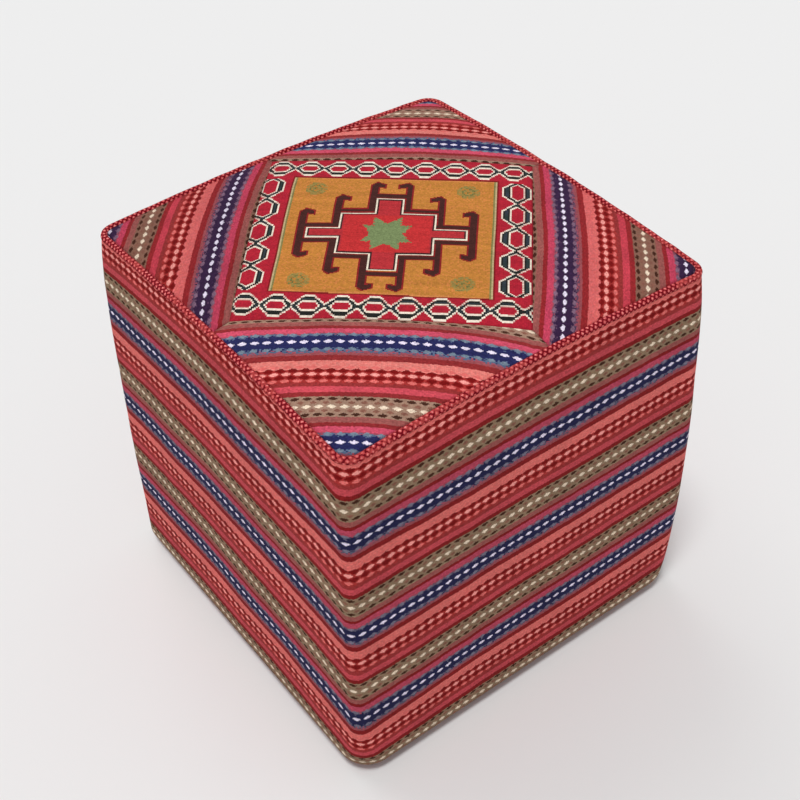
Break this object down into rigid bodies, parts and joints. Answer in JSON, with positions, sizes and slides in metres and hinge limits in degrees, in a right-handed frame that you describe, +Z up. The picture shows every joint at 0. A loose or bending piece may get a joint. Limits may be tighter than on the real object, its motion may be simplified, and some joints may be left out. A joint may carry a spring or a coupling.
{
  "type": "pouf",
  "caption": "Square padded stool covered in striped woven wool, with a patterned square panel set cornerwise in its crowned top and a piped seam round the top edge.",
  "frame": {"origin": "on the floor under the middle of the base", "axes": "+Z up; the four faces look along +X, -X, +Y and -Y; the picture looks at the corner between the -Y face, on its left, and the +X face, on its right"},
  "size_m": [0.406, 0.406, 0.4161],
  "materials": {
    "kilim_weave": "flat-woven wool, ochre field, red border and stepped figures",
    "striped_weave": "flat-woven wool in narrow red, blue, salmon and olive stripes",
    "piping_weave": "strip of the striped wool, dark and light red dots",
    "cotton_cord": "twisted cotton",
    "wadding": "needled polyester fleece",
    "foam": "open-cell polyurethane foam",
    "plywood": "sanded plywood",
    "hardboard": "smooth hardboard",
    "softwood": "planed pine",
    "screw_steel": "yellow zinc plated",
    "pin_steel": "bright wire",
    "dust_cloth": "black non-woven cloth",
    "glide_plastic": "dark brown moulded plastic"
  },
  "bodies": {
    "root": {"kilim_panel": "kilim_weave", "top_piece_back_right": "striped_weave", "top_piece_back_left": "striped_weave", "top_piece_front_left": "striped_weave", "top_piece_front_right": "striped_weave", "side_band": "striped_weave", "piping_cover": "piping_weave", "piping_cord": "cotton_cord", "seat_wadding": "wadding", "seat_foam": "foam", "side_wadding": "wadding", "seat_board": "plywood", "side_board_right": "hardboard", "side_board_back": "hardboard", "side_board_left": "hardboard", "side_board_front": "hardboard", "post_back_right": "softwood", "post_back_left": "softwood", "post_front_left": "softwood", "post_front_right": "softwood", "top_rail_right": "softwood", "top_rail_back": "softwood", "top_rail_left": "softwood", "top_rail_front": "softwood", "bottom_rail_right": "softwood", "bottom_rail_back": "softwood", "bottom_rail_left": "softwood", "bottom_rail_front": "softwood", "frame_screws": "screw_steel", "seat_screws": "screw_steel", "board_pins": "pin_steel", "dust_cover": "dust_cloth", "dust_cover_staples": "pin_steel", "glide_back_right": "glide_plastic", "glide_back_left": "glide_plastic", "glide_front_left": "glide_plastic", "glide_front_right": "glide_plastic"}
  },
  "joints": []
}
